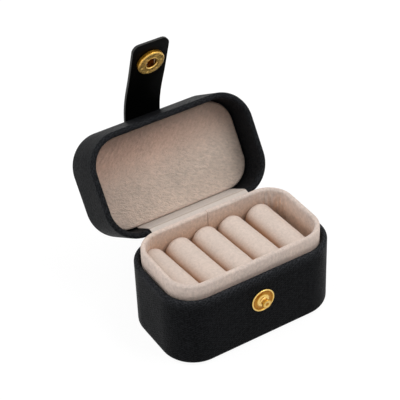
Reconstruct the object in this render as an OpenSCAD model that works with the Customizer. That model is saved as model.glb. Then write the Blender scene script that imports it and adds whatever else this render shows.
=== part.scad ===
/* [Box] */
// Outside length of the box, left to right
box_len = 95; // [80:1:120]
// Outside depth of the box, front to back
box_dep = 56; // [50:1:70]
// Corner radius of the box in plan
corner_r = 18; // [14:0.5:22]
// Height of the base up to its rim
base_h = 40.4; // [36:0.2:50]
// Height of the lid from its rim to its top
lid_h = 28.4; // [26:0.2:34]
// Radius of the long edges of the base's foot and the lid's top
edge_r = 2.5; // [2:0.1:3]
// Thickness of a finished wall, leather included
wall_t = 3.1; // [2.8:0.1:4.2]
// Thickness of the floor or top of a moulded shell
floor_t = 2.2; // [1.6:0.1:3]
// Gap between the two rims when the box is shut
rim_gap = 0.3; // [0.2:0.1:0.6]

/* [Leather] */
// Thickness of the wrapping leather
wrap_t = 0.7; // [0.5:0.05:0.9]
// How far the base's leather is turned in below the rim
base_turn_in = 9; // [7:0.5:12]
// How far the leather is turned under the base
turn_under = 11; // [8:0.5:14]
// Clearance round the bottom panel
panel_gap = 0.2; // [0.1:0.05:0.4]

/* [Collar] */
// Height of the collar above the base's rim
collar_rise = 7.3; // [6:0.1:9]
// Thickness of the collar, suede included
collar_t = 2.8; // [2.4:0.1:3.6]
// Clearance between the collar and the walls round it
collar_gap = 0.65; // [0.6:0.05:0.9]
// Thickness of the suede lining
suede_t = 0.6; // [0.4:0.05:0.8]
// How far the suede runs down the collar's outside below the rim
collar_skirt = 12; // [9:0.5:16]

/* [Ring rolls] */
// Number of ring rolls
roll_count = 5; // [3:1:5]
// Diameter of a ring roll
roll_d = 15.5; // [14:0.1:15.6]
// Clearance between neighbouring rolls
roll_gap = 0.05; // [0.03:0.01:0.08]
// Clearance between the ends of a roll and the collar
roll_end_gap = 0.4; // [0.3:0.05:0.8]
// Rounding of a roll's ends
roll_end_r = 3.2; // [2.4:0.1:3.8]
// Clearance between the rolls and the bed
roll_seat_gap = 0.1; // [0.05:0.01:0.2]
// Height of the bed's front edge above the table
bed_top = 27.1; // [24:0.1:28]
// Slope of the bed down towards the back
bed_slope = 1.8; // [0:0.1:3]
// Turn of the rolls, with their back ends to the left
roll_turn = 3.2; // [0:0.1:3.4]
// Turn of the last roll, which has room beside it
last_roll_turn = 1; // [0:0.1:3.2]

/* [Lid pad] */
// Depth of the lid's inside, from its rim to the pad
pad_depth = 15.6; // [14:0.1:17]
// Clearance between the pad and the lid's walls
pad_gap = 0.6; // [0.55:0.05:0.9]
// Thickness of the pad's board
pad_board_t = 1.4; // [1:0.1:2]
// Thickness of the suede over the pad
pad_suede_t = 0.8; // [0.6:0.05:1]
// Rise of the pad's crown in its middle
pad_crown = 0.9; // [0.4:0.1:1.4]
// Radius of the pad's soft edge
pad_edge_r = 2.2; // [1.6:0.1:3]

/* [Hinge] */
// Angle through which the lid opens
open_angle = 122.2; // [110:0.2:130]
// Distance of the hinge line behind the rear wall
hinge_back = 0.94; // [0.8:0.02:1.1]
// Distance of the hinge line below the base's rim
hinge_drop = 1.2; // [1:0.05:1.4]
// Distance of the hinge's ends from where the round corners start
hinge_margin = 0.5; // [0.5:0.5:12]
// Thickness of the leather spine
spine_t = 0.8; // [0.6:0.05:0.8]
// Length of each flap of the spine
spine_flap = 11; // [8:0.5:16]
// Sideways place of the suede strip, as it is glued in
strip_shift = 1.4; // [0:0.1:1.5]
// Thickness of the suede strip
strip_t = 0.4; // [0.3:0.05:0.45]
// Length of the strip below the base's rim
strip_tail = 6; // [4:0.5:9]
// Clearance under glued or resting leather and suede
glue_gap = 0.1; // [0.05:0.01:0.15]

/* [Strap] */
// Width of the strap
strap_w = 21; // [19:0.5:26]
// Thickness of one leather ply of the strap
ply_t = 0.9; // [0.7:0.05:1.1]
// Length of the strap beyond the middle of the snap
tip_len = 12.4; // [10.5:0.1:16]
// Corner radius of the strap's ends
tip_r = 4; // [2:0.2:6]
// Length of the strap that is fixed on the lid
anchor_len = 22; // [16:0.5:30]
// Angle from the shut strap to the strap as it stands up
strap_open = 37; // [30:0.1:45]
// Lean of the strap away from the wall where it leaves its bend
root_lean = 20; // [12:0.5:24]
// Tilt of the snap's seat on the strap
seat_lean = 3; // [0:0.5:3]
// Flare of the strap's tip
tip_flare = 0.9; // [0:0.1:2]

/* [Snap] */
// Depth of the middle of the stud below the base's rim
stud_drop = 15.1; // [13:0.1:17]
// Diameter of the stud's flange
stud_d = 13; // [11:0.2:15]
// Diameter of the stud's knob
knob_d = 5.2; // [4.8:0.1:5.4]
// Diameter of the stud's neck
neck_d = 3.8; // [3.4:0.1:3.9]
// Height of the knob above the leather
knob_h = 4.2; // [3.9:0.1:4.3]
// Thickness of the knob
knob_t = 1.2; // [1:0.05:1.4]
// Diameter of the socket on the strap
socket_d = 15; // [14:0.2:17]
// Height of the socket above the strap
socket_h = 2.4; // [2.2:0.1:2.6]
// Diameter of the socket's hole
socket_bore = 6; // [5.8:0.1:6.2]
// Gap between the socket and the base's wall when snapped
socket_gap = 1.5; // [1.4:0.1:1.8]
// Height of the cap's dome
cap_h = 2.2; // [1.6:0.1:3]
// Thickness of the pressed snap metal
metal_t = 0.45; // [0.35:0.05:0.5]
// Diameter of the socket's spring wire
spring_d = 0.6; // [0.5:0.05:0.7]
// Diameter of the rivet behind the stud
rivet_d = 3; // [2.6:0.1:3.2]
// Clearance between the snap's parts and their holes
snap_gap = 0.1; // [0.05:0.01:0.15]

/* [Hidden] */
roll_names = [for (k = [1:roll_count]) str("ring_roll_", k)];
core_names = [for (k = [1:roll_count]) str("ring_roll_core_", k)];

$fn = 64;
cut = 1; // overshoot of a cutting shape

leather_colour = "#1d1e20";
suede_colour = "#d2beb2";
roll_colour = "#d9c4b8";
board_colour = "#8d7f6c";
foam_colour = "#e9e3d2";
plastic_colour = "#3a3a3c";
gold_colour = "#d8a53a";

// heights and places worked out from the sizes above
lid_rim_z = base_h + rim_gap;
lid_top_z = lid_rim_z + lid_h;
hinge_y = box_dep / 2 + hinge_back;
hinge_z = base_h - hinge_drop;
hinge_w = box_len - 2 * corner_r - 2 * hinge_margin; // width of the leather spine and of the suede strip
stud_z = base_h - stud_drop;
shell_floor_z = wrap_t + floor_t;
collar_inset = wall_t + collar_gap;
collar_len = box_len - 2 * collar_inset;
collar_dep = box_dep - 2 * collar_inset;
collar_r = corner_r - collar_inset;
collar_top = base_h + collar_rise;
tray_len = collar_len - 2 * collar_t;
tray_dep = collar_dep - 2 * collar_t;
tray_r = collar_r - collar_t;
tray_gap = 0.1; // clearance round the bed
roll_r = roll_d / 2;
roll_pitch = roll_d + roll_gap;
roll_len = tray_dep - 2 * roll_end_gap;
roll_z = bed_top + roll_seat_gap + roll_r;
sleeve_t = 0.8; // suede of a roll
pad_inset = wall_t + pad_gap;
pad_len = box_len - 2 * pad_inset;
pad_dep = box_dep - 2 * pad_inset;
pad_r = corner_r - pad_inset;
pad_top = lid_h - pad_depth; // pad's face, measured from the lid's outside top
pad_seat = wrap_t + floor_t;
lid_turn_in = pad_depth + 2; // the lid's leather ends behind the pad

// a wall in section whose upper edge is a full round
module rim_bar(r0, r1, z0, z1) {
    half = (r1 - r0) / 2;
    translate([r0, z0]) square([r1 - r0, z1 - z0 - half]);
    translate([r0 + half, z1 - half]) circle(half);
}

// what is cut away in section to round an outer foot
module foot_cut(r1, z0, r) {
    difference() {
        translate([r1 - r, z0 - cut]) square([r + cut, r + cut]);
        translate([r1 - r, z0 + r]) circle(r);
        translate([r1 - r - cut, z0]) square([cut, r]);
    }
}

// sweeps a section round a rectangle with round corners
module around(len, dep, rad) {
    for (k = [0:3]) {
        side = k % 2 == 0 ? len : dep;
        run = k % 2 == 0 ? dep : len;
        rotate(90 * k) translate([side / 2 - rad, run / 2 - rad, 0]) {
            rotate_extrude(angle = 90) children();
            rotate([90, 0, 0]) linear_extrude(run - 2 * rad) children();
        }
    }
}

// flat rectangle with round corners
module round_plate(len, dep, rad) {
    square([len - 2 * rad, dep], center = true);
    square([len, dep - 2 * rad], center = true);
    for (x = [-1, 1], y = [-1, 1]) {
        translate([x * (len / 2 - rad), y * (dep / 2 - rad)]) circle(rad);
    }
}

// block with round corners from z0 to z1
module round_block(len, dep, rad, z0, z1) {
    translate([0, 0, z0]) linear_extrude(z1 - z0) round_plate(len, dep, rad);
}

// section of a moulded shell, open at the top, inside its leather
module shell_section(h) {
    difference() {
        union() {
            rim_bar(corner_r - wall_t + wrap_t, corner_r - wrap_t, wrap_t, h - wrap_t);
            translate([0, wrap_t]) square([corner_r - 2 * wrap_t, floor_t]);
        }
        foot_cut(corner_r - wrap_t, wrap_t, edge_r - wrap_t);
    }
}

// section of the leather on a shell, turned in by turn_in and under to the radius inner
module wrap_section(h, turn_in, inner) {
    difference() {
        union() {
            rim_bar(corner_r - wall_t, corner_r, 0, h);
            translate([inner, 0]) square([corner_r - inner - edge_r, wrap_t]);
        }
        foot_cut(corner_r, 0, edge_r);
        difference() {
            union() {
                rim_bar(corner_r - wall_t + wrap_t, corner_r - wrap_t, wrap_t, h - wrap_t);
                translate([0, wrap_t]) square([corner_r - 2 * wrap_t, h - turn_in - wrap_t]);
            }
            foot_cut(corner_r - wrap_t, wrap_t, edge_r - wrap_t);
        }
    }
}

// flat middle of a shell or its leather, between the corner centres
module middle_plate(z0, z1) {
    translate([0, 0, (z0 + z1) / 2])
        cube([box_len - 2 * corner_r, box_dep - 2 * corner_r, z1 - z0], center = true);
}

// places what is drawn in the shut box's frame as the open lid holds it
module open_lid() {
    translate([0, hinge_y, hinge_z])
        rotate([-open_angle, 0, 0])
            translate([0, -hinge_y, -hinge_z]) children();
}

// places what is drawn with the lid's outside top at zero and its rim upwards
module in_lid() {
    open_lid() translate([0, 0, lid_top_z]) mirror([0, 0, 1]) children();
}

// extrudes a shape given in Y and Z along X
module along_x(w) {
    rotate([90, 0, 90]) linear_extrude(w, center = true) children();
}

// front wall's frame at the stud, with its Z out of the wall
module on_front() {
    translate([0, -box_dep / 2, stud_z]) rotate([90, 0, 0]) children();
}

stud_hole_r = rivet_d / 2 + 2 * snap_gap;

module base_shell() {
    color(plastic_colour) difference() {
        union() {
            around(box_len, box_dep, corner_r) shell_section(base_h);
            middle_plate(wrap_t, shell_floor_z);
        }
        on_front() translate([0, 0, -wall_t - cut]) cylinder(r = stud_hole_r, h = wall_t + 2 * cut);
    }
}

module base_wrap() {
    color(leather_colour) difference() {
        around(box_len, box_dep, corner_r) wrap_section(base_h, base_turn_in, corner_r - turn_under);
        on_front() translate([0, 0, -wall_t - cut]) cylinder(r = stud_hole_r, h = wall_t + 2 * cut);
    }
}

module bottom_panel() {
    inset = turn_under + panel_gap;
    color(plastic_colour) round_block(
        box_len - 2 * inset, box_dep - 2 * inset, corner_r - inset, 0, wrap_t - glue_gap / 2);
}

// section of the board inside the collar
module collar_board_section() {
    rim_bar(collar_r - collar_t + suede_t, collar_r - suede_t, shell_floor_z, collar_top - suede_t);
}

module collar_frame() {
    color(board_colour) around(collar_len, collar_dep, collar_r) collar_board_section();
}

module collar_lining() {
    color(suede_colour) around(collar_len, collar_dep, collar_r) difference() {
        rim_bar(collar_r - collar_t, collar_r, shell_floor_z, collar_top);
        collar_board_section();
        translate([collar_r - collar_t / 2, shell_floor_z - cut])
            square([collar_t, base_h - collar_skirt - shell_floor_z + cut]);
    }
}

// what fills the tray below a plane that slopes down to the back, given its height at the front
module tray_fill(top) {
    front = -tray_dep / 2;
    drop = tray_dep * tan(bed_slope);
    intersection() {
        round_block(
            tray_len - 2 * tray_gap, tray_dep - 2 * tray_gap, tray_r - tray_gap, shell_floor_z, top);
        along_x(tray_len) polygon([[front, 0], [-front, 0], [-front, top - drop], [front, top]]);
    }
}

module bed_foam() {
    color(foam_colour) tray_fill(bed_top - suede_t);
}

module bed_lining() {
    color(suede_colour) difference() {
        tray_fill(bed_top);
        along_x(tray_len + cut) polygon([
            [-tray_dep, 0],
            [tray_dep, 0],
            [tray_dep, bed_top - suede_t - 1.5 * tray_dep * tan(bed_slope)],
            [-tray_dep, bed_top - suede_t + 0.5 * tray_dep * tan(bed_slope)]
        ]);
    }
}

// place of roll k, counted from 1 at the left wall, which turns and dips about its front end
module at_roll(k) {
    turn = k == 5 ? last_roll_turn : roll_turn;
    translate([-tray_len / 2 + roll_gap + roll_r + (k - 1) * roll_pitch, -roll_len / 2, roll_z])
        rotate([-bed_slope, 0, turn]) translate([0, roll_len, 0]) rotate([90, 0, 0]) children();
}

// round bar with soft ends, standing on Z
module soft_bar(r, h, e) {
    rotate_extrude() {
        square([r - e, h]);
        translate([0, e]) square([r, h - 2 * e]);
        intersection() {
            square([r, h]);
            union() {
                translate([r - e, e]) circle(e);
                translate([r - e, h - e]) circle(e);
            }
        }
    }
}

// keeps what fits inside the collar, where the outer rolls yield to its round corners
module in_tray(inset) {
    intersection() {
        children();
        round_block(tray_len - 2 * inset, tray_dep - 2 * inset, tray_r - inset, shell_floor_z, collar_top);
    }
}

module ring_roll_core(k) {
    color(foam_colour) in_tray(tray_gap + sleeve_t) at_roll(k) translate([0, 0, sleeve_t])
        soft_bar(roll_r - sleeve_t, roll_len - 2 * sleeve_t, roll_end_r - sleeve_t);
}

module ring_roll(k) {
    color(roll_colour) difference() {
        in_tray(tray_gap) at_roll(k) soft_bar(roll_r, roll_len, roll_end_r);
        ring_roll_core(k);
    }
}

// metal of the snap
stud_r = stud_d / 2;
bead_r = 0.35; // raised rim of the stud's flange
boss_h = 1.2; // step of the stud under its neck
boss_r = socket_bore / 2 - snap_gap;
knob_edge = knob_t / 2;
rivet_r = rivet_d / 2;
rivet_reach = 2.2; // how far the rivet goes up inside the stud
rivet_head_t = 0.4;
rivet_head_r = 4;

module snap_stud() {
    color(gold_colour) on_front() rotate_extrude() difference() {
        union() {
            square([stud_r - bead_r, metal_t]);
            translate([stud_r - bead_r, bead_r]) circle(bead_r);
            translate([stud_r - 2 * bead_r, 0]) square([bead_r, 2 * bead_r]);
            square([boss_r, boss_h]);
            square([neck_d / 2, knob_h - knob_t / 2]);
            translate([0, knob_h - knob_t]) square([knob_d / 2 - knob_edge, knob_t]);
            translate([knob_d / 2 - knob_edge, knob_h - knob_t / 2]) circle(knob_edge);
        }
        translate([-cut, -cut]) square([rivet_r + snap_gap / 2 + cut, rivet_reach + snap_gap + cut]);
        translate([0, knob_h + 0.8]) circle(1.1);
        translate([-2 * stud_r, -cut]) square([2 * stud_r, knob_h + 2 * cut]);
    }
}

module stud_rivet() {
    wall_in = wall_t - wrap_t;
    color(gold_colour) on_front() {
        translate([0, 0, -wall_in - rivet_head_t]) cylinder(r = rivet_head_r, h = rivet_head_t);
        translate([0, 0, -wall_in]) cylinder(r = rivet_r, h = wall_in + rivet_reach);
    }
}

module lid_shell() {
    color(plastic_colour) in_lid() {
        around(box_len, box_dep, corner_r) shell_section(lid_h);
        middle_plate(wrap_t, shell_floor_z);
    }
}

module lid_wrap() {
    color(leather_colour) in_lid() {
        around(box_len, box_dep, corner_r) wrap_section(lid_h, lid_turn_in, 0);
        middle_plate(0, wrap_t);
    }
}

module pad_board() {
    color(board_colour) in_lid() round_block(
        pad_len - 2 * pad_suede_t, pad_dep - 2 * pad_suede_t, pad_r - pad_suede_t,
        pad_seat, pad_seat + pad_board_t);
}

// foam's face, under the suede
foam_top = pad_top - pad_suede_t - pad_crown;

module pad_foam() {
    color(foam_colour) in_lid() round_block(
        pad_len - 2 * pad_suede_t, pad_dep - 2 * pad_suede_t, pad_r - pad_suede_t,
        pad_seat + pad_board_t, foam_top);
}

// crowned cushion face: rings of a rounded rectangle that rise towards the middle
cushion_corner_steps = 7; // steps in a quarter turn of a ring
cushion_edge_steps = 5; // rings on the soft edge
cushion_crown_steps = 7; // rings from the edge to the middle

function ring_points(len, dep, rad, inset, z) = [
    for (q = [0:3], s = [0:cushion_corner_steps])
        let (
            turn = 90 * q + 90 * s / cushion_corner_steps,
            r = max(rad - inset, 0.5),
            sx = (q == 0 || q == 3) ? 1 : -1,
            sy = q < 2 ? 1 : -1
        )
        [
            sx * (len / 2 - inset - r) + r * cos(turn),
            sy * (dep / 2 - inset - r) + r * sin(turn),
            z
        ]
];

module cushion(len, dep, rad, z0, z1, edge, crown) {
    edge_rings = [
        for (i = [0:cushion_edge_steps])
            let (a = 90 * i / cushion_edge_steps)
            [edge * (1 - cos(a)), z1 - crown - edge * (1 - sin(a))]
    ];
    span = dep / 2 - edge - 0.8;
    crown_rings = [
        for (i = [1:cushion_crown_steps])
            let (t = i / cushion_crown_steps)
            [edge + span * t, z1 - crown * pow(1 - t, 2)]
    ];
    rings = concat([[0, z0]], edge_rings, crown_rings);
    n = 4 * (cushion_corner_steps + 1);
    points = [for (ring = rings) each ring_points(len, dep, rad, ring[0], ring[1])];
    last = len(rings) - 1;
    sides = [
        for (i = [0:last - 1], j = [0:n - 1])
            let (a = i * n + j, b = i * n + (j + 1) % n)
            each [[a, a + n, b], [b, a + n, b + n]]
    ];
    bottom = [for (j = [1:n - 2]) [0, j, j + 1]];
    top = [for (j = [1:n - 2]) [last * n, last * n + j + 1, last * n + j]];
    polyhedron(points = points, faces = concat(sides, bottom, top));
}

module pad_lining() {
    color(suede_colour) in_lid() difference() {
        cushion(pad_len, pad_dep, pad_r, pad_seat, pad_top, pad_edge_r, pad_crown);
        round_block(
            pad_len - 2 * pad_suede_t, pad_dep - 2 * pad_suede_t, pad_r - pad_suede_t,
            pad_seat - cut, foam_top);
    }
}

// the strap, in the shut box's frame: along runs down from the pivot, out runs away from the wall
strap_t = 2 * ply_t;
pivot_y = -box_dep / 2 + edge_r;
pivot_z = lid_top_z - edge_r;
bend_r = edge_r + glue_gap;
reach = pivot_z - stud_z;
seat_half = socket_d / 2 + 0.3;
seat_out = edge_r + socket_gap + socket_h;
seat_start = reach - seat_half;
seat_end = reach + seat_half;
strap_end = reach + tip_len;
root_steps = 14;
tip_steps = 4;

// how far a layer of the strap, raised by the given amount, stands out at a place along it
function root_along(raise) = -(bend_r + raise) * sin(root_lean);
function root_out(raise) = (bend_r + raise) * cos(root_lean);
function seat_line(along, raise) = seat_out + raise + (along - reach) * tan(seat_lean);
function root_curve(t, raise) =
    let (
        along0 = root_along(raise),
        run = seat_start - along0,
        h00 = 2 * pow(t, 3) - 3 * pow(t, 2) + 1,
        h10 = pow(t, 3) - 2 * pow(t, 2) + t,
        h01 = -2 * pow(t, 3) + 3 * pow(t, 2),
        h11 = pow(t, 3) - pow(t, 2)
    )
    [
        along0 + run * t,
        h00 * root_out(raise) + h10 * run * tan(root_lean)
            + h01 * seat_line(seat_start, raise) + h11 * run * tan(seat_lean)
    ];
function tip_curve(t, raise) =
    let (along = seat_end + (strap_end - seat_end) * t)
    [along, seat_line(along, raise) + tip_flare * pow(t, 2)];
function strap_edge(raise) = concat(
    [for (i = [0:root_steps]) root_curve(i / root_steps, raise)],
    [for (i = [0:tip_steps]) tip_curve(i / tip_steps, raise)]
);
function reversed(list) = [for (i = [len(list) - 1:-1:0]) list[i]];

// turns the strap from shut to standing
module open_strap() {
    open_lid() translate([0, pivot_y, pivot_z]) rotate([-strap_open, 0, 0]) children();
}

// one layer of the strap between two heights above its inner face, with a round-cornered end
module strap_layer(from, to) {
    points = concat(strap_edge(from), reversed(strap_edge(to)));
    open_strap() difference() {
        intersection() {
            along_x(strap_w) polygon([for (p = points) [-p[1], -p[0]]]);
            rotate([90, 0, 0]) linear_extrude(4 * seat_out, center = true)
                translate([0, -strap_end]) strap_outline(strap_end + 3 * bend_r);
        }
        at_seat() translate([0, 0, -strap_t - cut])
            cylinder(r = socket_bore / 2 + metal_t + snap_gap, h = strap_t + 2 * cut);
    }
}

// strap's plan with round corners at its lower end
module strap_outline(h) {
    translate([-strap_w / 2, tip_r]) square([strap_w, h - tip_r]);
    translate([-strap_w / 2 + tip_r, 0]) square([strap_w - 2 * tip_r, tip_r]);
    for (x = [-1, 1]) {
        translate([x * (strap_w / 2 - tip_r), tip_r]) circle(tip_r);
    }
}

// the snap's place on the strap, with its Z towards the stud
module at_seat() {
    translate([0, -seat_out, -reach]) rotate([-90 - seat_lean, 0, 0]) children();
}

module strap_lining() {
    color(leather_colour) strap_layer(0, ply_t);
}

module strap_face() {
    color(leather_colour) strap_layer(ply_t, strap_t);
}

module strap_anchor() {
    color(leather_colour) open_lid()
        translate([0, pivot_y, lid_top_z + glue_gap]) linear_extrude(strap_t)
            mirror([0, 1]) translate([0, -anchor_len]) strap_outline(anchor_len);
}

// points of an arc about a centre, angles from +Y towards +Z
function arc(centre, r, from, to, steps) = [
    for (i = [0:steps])
        let (a = from + (to - from) * i / steps)
        [centre[0] + r * cos(a), centre[1] + r * sin(a)]
];

module strap_bend() {
    steps = 6;
    from = 180 - root_lean - strap_open;
    centre = [pivot_y, pivot_z];
    color(leather_colour) open_lid() along_x(strap_w) polygon(concat(
        arc(centre, bend_r, from, 90, steps),
        reversed(arc(centre, bend_r + strap_t, from, 90, steps))
    ));
}

socket_r = socket_d / 2;
bore_r = socket_bore / 2;
spring_room_r = socket_r - 1.7;
spring_z = socket_h / 2 - 0.05;
spring_x = neck_d / 2 + spring_d / 2 + 0.05;
spring_bend_r = spring_room_r - 0.3 - spring_d / 2;

module snap_socket() {
    color(gold_colour) open_strap() at_seat() rotate_extrude() difference() {
        union() {
            translate([bore_r, 0]) square([socket_r - bore_r - metal_t, socket_h]);
            translate([bore_r, 0]) square([socket_r - bore_r, socket_h - metal_t]);
            translate([socket_r - metal_t, socket_h - metal_t]) circle(metal_t);
            translate([bore_r, -strap_t - metal_t]) square([metal_t, strap_t + 2 * metal_t]);
        }
        translate([bore_r - cut, metal_t])
            square([spring_room_r - bore_r + cut, socket_h - 2 * metal_t]);
    }
}

// dome in section: a cap of a circle over the cap's radius
dome_r = (pow(socket_r, 2) + pow(cap_h, 2)) / (2 * cap_h);

module snap_cap() {
    color(gold_colour) open_strap() at_seat() translate([0, 0, -strap_t]) mirror([0, 0, 1])
        rotate_extrude() {
            translate([bore_r + metal_t + snap_gap, 0])
                square([socket_r - bore_r - 2 * metal_t - snap_gap, metal_t]);
            intersection() {
                square([socket_r, cap_h]);
                difference() {
                    translate([0, cap_h - dome_r]) circle(dome_r, $fn = 128);
                    translate([0, cap_h - dome_r]) circle(dome_r - metal_t, $fn = 128);
                }
            }
        }
}

module socket_spring() {
    end_y = sqrt(pow(spring_bend_r, 2) - pow(spring_x, 2));
    start = atan2(end_y, spring_x);
    color(gold_colour) open_strap() at_seat() translate([0, 0, spring_z]) for (side = [0, 180]) {
        rotate(side) {
            translate([spring_x, end_y, 0]) rotate([90, 0, 0]) cylinder(d = spring_d, h = 2 * end_y);
            rotate(start - 50) rotate_extrude(angle = 52)
                translate([spring_bend_r, 0]) circle(d = spring_d * 0.96);
        }
    }
}

// soft hinges across the two rear walls: a band between two rounds, with a tail along each wall
hinge_turn = 180 - open_angle; // direction of the open lid's rear wall, from +Y
lid_down = [sin(open_angle), cos(open_angle)];
band_steps = 12;

function band_side(base_c, lid_c, r, base_tail, lid_tail, mid) = concat(
    [[base_c[0] - r, base_c[1] - base_tail]],
    arc(base_c, r, 180, mid, band_steps),
    arc(lid_c, r, mid, hinge_turn, band_steps),
    [lid_c + lid_tail * lid_down + r * [cos(hinge_turn), sin(hinge_turn)]]
);

module hinge_band(base_c, lid_c, r0, r1, base_tail, lid_tail, mid) {
    along_x(hinge_w) polygon(concat(
        band_side(base_c, lid_c, r0, base_tail, lid_tail, mid),
        reversed(band_side(base_c, lid_c, r1, base_tail, lid_tail, mid))
    ));
}

// place of a point of the shut lid once the lid is open, in Y and Z
function opened(y, z) = [
    hinge_y + (y - hinge_y) * cos(open_angle) + (z - hinge_z) * sin(open_angle),
    hinge_z - (y - hinge_y) * sin(open_angle) + (z - hinge_z) * cos(open_angle)
];

fold_r = 1.6; // round of the folded spine, on its side towards the walls

module hinge_spine() {
    side = fold_r + glue_gap / 2 - hinge_back;
    centre = [hinge_y + side, hinge_z - side * tan(open_angle / 2)];
    mid = 90 + hinge_turn / 2;
    color(leather_colour)
        hinge_band(centre, centre, fold_r - spine_t, fold_r, spine_flap, spine_flap, mid);
}

module hinge_strip() {
    rim_r = wall_t / 2;
    base_c = [box_dep / 2 - rim_r, base_h - rim_r];
    lid_c = opened(box_dep / 2 - rim_r, lid_rim_z + rim_r);
    slope = atan2(lid_c[1] - base_c[1], lid_c[0] - base_c[0]);
    tuck = 1.2; // how far the strip goes behind the pad
    color(suede_colour) translate([strip_shift, 0, 0]) hinge_band(
        base_c, lid_c, rim_r + glue_gap, rim_r + glue_gap + strip_t,
        strip_tail - rim_r, pad_depth - rim_r + tuck, 90 + slope);
}

base_shell();
base_wrap();
bottom_panel();
collar_frame();
collar_lining();
bed_foam();
bed_lining();
for (k = [1:roll_count]) {
    ring_roll(k);
    ring_roll_core(k);
}
snap_stud();
stud_rivet();
lid_shell();
lid_wrap();
pad_board();
pad_foam();
pad_lining();
strap_anchor();
strap_face();
strap_lining();
snap_cap();
snap_socket();
socket_spring();
hinge_spine();
hinge_strip();
strap_bend();
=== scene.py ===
# %% [markdown]
# # A leather ring box, dressed on its frame
# The box is built in CAD first: shells, collar, rolls, hinge line and snap all have their real places there.
# This lesson loads that model as a fixed frame and makes the surfaces that show: leather, suede and gold.
# Every piece is drawn where the frame says, so nothing has to be fitted afterwards.

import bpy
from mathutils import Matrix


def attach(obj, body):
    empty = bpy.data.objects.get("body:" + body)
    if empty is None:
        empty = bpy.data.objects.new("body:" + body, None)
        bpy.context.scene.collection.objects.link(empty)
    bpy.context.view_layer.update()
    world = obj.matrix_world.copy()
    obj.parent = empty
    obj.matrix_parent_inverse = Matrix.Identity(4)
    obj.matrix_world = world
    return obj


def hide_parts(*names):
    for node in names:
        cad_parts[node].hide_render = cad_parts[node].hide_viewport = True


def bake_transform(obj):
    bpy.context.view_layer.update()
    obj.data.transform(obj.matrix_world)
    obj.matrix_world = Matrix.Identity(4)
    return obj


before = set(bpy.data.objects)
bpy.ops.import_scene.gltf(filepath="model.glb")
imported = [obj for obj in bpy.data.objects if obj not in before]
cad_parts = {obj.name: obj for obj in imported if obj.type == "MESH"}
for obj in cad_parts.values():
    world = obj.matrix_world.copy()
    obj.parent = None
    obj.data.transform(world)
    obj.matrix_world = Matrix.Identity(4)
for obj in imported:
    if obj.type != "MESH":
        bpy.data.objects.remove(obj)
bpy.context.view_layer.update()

# %% [markdown]
# ## Sizes
# A maker works from a short list of sizes, and so does this script. They are the frame's own sizes in millimetres,
# written once. Each piece is drawn in millimetres and scaled to metres at the end, which keeps the numbers readable.

# %% Sizes in millimetres
from math import atan2, copysign, cos, exp, hypot, pi, radians, sin, sqrt, tan

import bmesh
import bpy
from mathutils import Matrix, Vector, noise

BOX_LEN, BOX_DEP, CORNER_R = 95.0, 56.0, 18.0
BASE_H, LID_H, RIM_GAP, EDGE_R = 40.4, 28.4, 0.3, 2.5
WALL_T, WRAP_T, FLOOR_T = 3.1, 0.7, 2.2
RIM_R = WALL_T / 2
LID_RIM_Z = BASE_H + RIM_GAP
LID_TOP_Z = LID_RIM_Z + LID_H
SHELL_FLOOR_Z = WRAP_T + FLOOR_T
print("outside", BOX_LEN, "x", BOX_DEP, "mm, shut height", round(LID_TOP_Z, 1), "mm")

# %% [markdown]
# ## Where the open lid and the strap stand
# The lid turns about a line just behind the rear wall, and the strap about a line inside the lid's top front edge.
# A matrix for each of these places lets every piece be drawn in its easy position first: the lid flat on its back,
# the strap hanging straight down, the stud on a flat table.

# %% Places of the moving pieces
OPEN_ANGLE, HINGE_Y, HINGE_Z = 122.2, BOX_DEP / 2 + 0.94, BASE_H - 1.2
STRAP_OPEN, ROOT_LEAN, SEAT_LEAN = 37.0, 20.0, 3.0
STUD_Z, PLY_T, GLUE_GAP = BASE_H - 15.1, 0.9, 0.1
STRAP_T = 2 * PLY_T
PIVOT_Y, PIVOT_Z = -BOX_DEP / 2 + EDGE_R, LID_TOP_Z - EDGE_R
SOCKET_D, SOCKET_H, SOCKET_GAP = 15.0, 2.4, 1.5
REACH = PIVOT_Z - STUD_Z
SEAT_OUT = EDGE_R + SOCKET_GAP + SOCKET_H


def turn_x(degrees):
    return Matrix.Rotation(radians(degrees), 4, "X")


def shift(x, y, z):
    return Matrix.Translation((x, y, z))


OPEN_LID = shift(0, HINGE_Y, HINGE_Z) @ turn_x(-OPEN_ANGLE) @ shift(0, -HINGE_Y, -HINGE_Z)
IN_LID = OPEN_LID @ shift(0, 0, LID_TOP_Z) @ Matrix.Scale(-1, 4, (0, 0, 1))
OPEN_STRAP = OPEN_LID @ shift(0, PIVOT_Y, PIVOT_Z) @ turn_x(-STRAP_OPEN)
AT_SEAT = OPEN_STRAP @ shift(0, -SEAT_OUT, -REACH) @ turn_x(-90 - SEAT_LEAN)
ON_FRONT = shift(0, -BOX_DEP / 2, STUD_Z) @ turn_x(90)
print("strap turns about", [round(c, 2) for c in OPEN_LID @ Vector((0, PIVOT_Y, PIVOT_Z))])

# %% [markdown]
# ## A camera like the photographer's
# The photograph was taken from the box's front left, about 38 degrees above the table, with a long lens.
# A long lens keeps the far corner nearly as large as the near one, so the distance and the lens belong together.

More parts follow.
